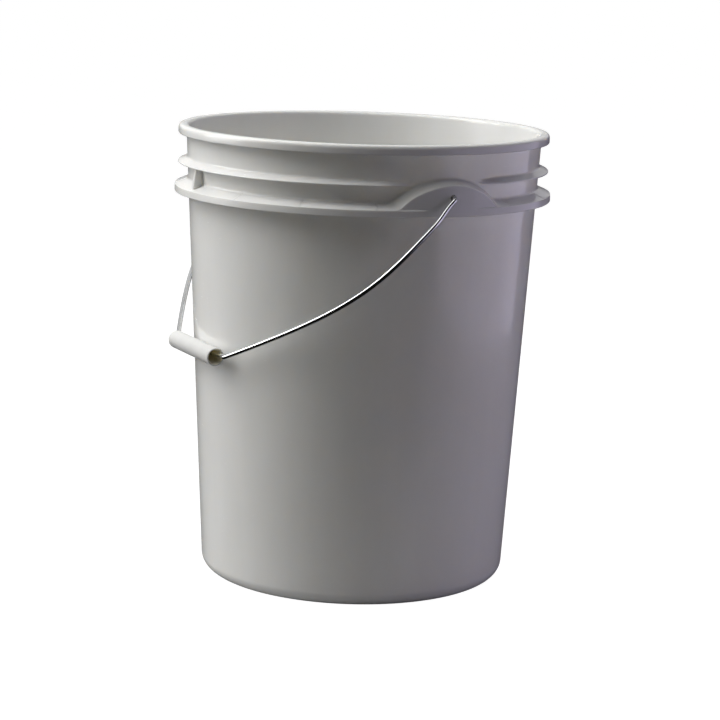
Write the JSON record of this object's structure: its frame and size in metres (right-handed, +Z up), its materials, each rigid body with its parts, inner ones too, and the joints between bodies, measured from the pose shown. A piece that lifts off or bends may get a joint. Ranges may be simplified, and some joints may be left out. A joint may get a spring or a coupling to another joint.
{
  "type": "plastic fermenting bucket",
  "caption": "Tapered plastic pail with a beaded rim, an upper ledge, a hollow lower skirt and arched ears, with a swinging wire bail that carries a loose tubular grip.",
  "frame": {"origin": "centre of the pail's base, on the plane that its foot ring stands on", "axes": "+X from the axis of the pail towards one ear, along the bail's pivot axis; -Y towards the side on which the bail hangs; +Z up, towards the open rim"},
  "size_m": [0.3286, 0.3076, 0.3698],
  "materials": {
    "pail_plastic": "semi-gloss off-white high-density polyethylene",
    "bail_steel": "bright zinc-plated drawn wire",
    "grip_plastic": "smooth white extruded tube"
  },
  "bodies": {
    "pail": {"pail": "pail_plastic"},
    "bail": {"bail_wire": "bail_steel"},
    "grip": {"grip": "grip_plastic"}
  },
  "joints": [
    {"name": "bail_swing", "type": "hinge", "parent": "pail", "child": "bail", "pos_m": [0, 0, 0.3298], "axis": [-1, 0, 0], "range_deg": [0, 267.2]},
    {"name": "grip_spin", "type": "hinge", "parent": "bail", "child": "grip", "pos_m": [-0.005, -0.14345, 0.19325], "axis": [1, 0, 0], "continuous": true}
  ]
}
